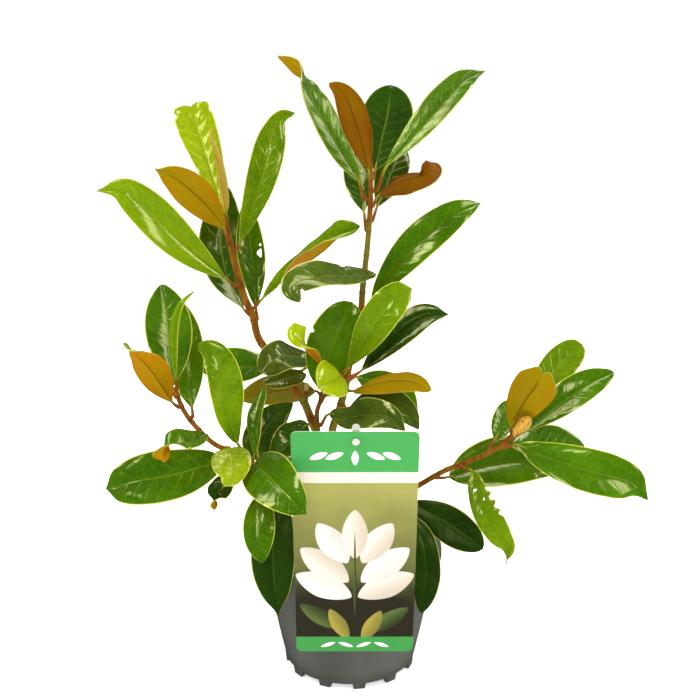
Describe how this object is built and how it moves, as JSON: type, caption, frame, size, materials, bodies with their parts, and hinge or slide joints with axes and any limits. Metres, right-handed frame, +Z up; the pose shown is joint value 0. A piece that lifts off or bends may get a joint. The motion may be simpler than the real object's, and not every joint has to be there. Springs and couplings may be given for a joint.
{
  "type": "potted southern magnolia",
  "caption": "Young evergreen magnolia with branching woody stems and large glossy leaves, standing in a round nursery pot with soil, a plain care label and its stake.",
  "frame": {"origin": "middle of the pot's underside, on the surface that it stands on", "axes": "+Z up the plant, -Y towards the side that the label faces, +X to its right"},
  "size_m": [0.4779, 0.262, 0.5685],
  "materials": {
    "leaf_light": "light green, waxy and glossy above",
    "leaf_bright": "young yellow green, glossy",
    "leaf_mid": "mid green, very glossy above",
    "leaf_dark": "dark green, very glossy above",
    "leaf_olive": "olive green, glossy above, felted below",
    "leaf_underside": "golden brown felted underside, green above",
    "bark": "reddish brown young bark, greener low down",
    "pot": "matt grey moulded plastic",
    "soil": "dark bark and peat mix",
    "label": "printed satin card",
    "stake": "off-white plastic"
  },
  "bodies": {
    "root": {"pot": "pot", "soil": "soil", "stems": "bark", "label": "label", "stake": "stake", "leaf_left_a": "leaf_light", "leaf_left_b": "leaf_underside", "leaf_left_c": "leaf_bright", "leaf_left_d": "leaf_bright", "leaf_left_e": "leaf_mid", "leaf_left_f": "leaf_dark", "leaf_left_g": "leaf_mid", "leaf_left_h": "leaf_light", "leaf_top_a": "leaf_olive", "leaf_top_b": "leaf_mid", "leaf_top_c": "leaf_underside", "leaf_top_d": "leaf_dark", "leaf_top_e": "leaf_mid", "leaf_top_f": "leaf_underside", "leaf_top_g": "leaf_dark", "leaf_top_h": "leaf_dark", "leaf_top_i": "leaf_mid", "leaf_centre_a": "leaf_mid", "leaf_centre_b": "leaf_light", "leaf_centre_c": "leaf_dark", "leaf_centre_d": "leaf_underside", "leaf_centre_e": "leaf_bright", "leaf_centre_f": "leaf_bright", "leaf_centre_g": "leaf_mid", "leaf_centre_h": "leaf_olive", "leaf_centre_i": "leaf_olive", "leaf_back_a": "leaf_dark", "leaf_back_b": "leaf_olive", "leaf_back_c": "leaf_olive", "leaf_back_d": "leaf_dark", "leaf_back_e": "leaf_mid", "leaf_back_f": "leaf_dark", "leaf_back_g": "leaf_dark", "leaf_low_a": "leaf_mid", "leaf_low_b": "leaf_mid", "leaf_low_c": "leaf_light", "leaf_low_d": "leaf_underside", "leaf_low_e": "leaf_light", "leaf_low_f": "leaf_bright", "leaf_low_g": "leaf_mid", "leaf_low_h": "leaf_mid", "leaf_low_i": "leaf_dark", "leaf_front_a": "leaf_mid", "leaf_front_b": "leaf_mid", "leaf_front_c": "leaf_dark", "leaf_front_d": "leaf_dark", "leaf_front_e": "leaf_dark", "leaf_right_a": "leaf_olive", "leaf_right_b": "leaf_mid", "leaf_right_c": "leaf_mid", "leaf_right_d": "leaf_dark", "leaf_right_e": "leaf_mid", "leaf_right_f": "leaf_light", "leaf_right_g": "leaf_dark", "leaf_right_h": "leaf_mid"}
  },
  "joints": []
}
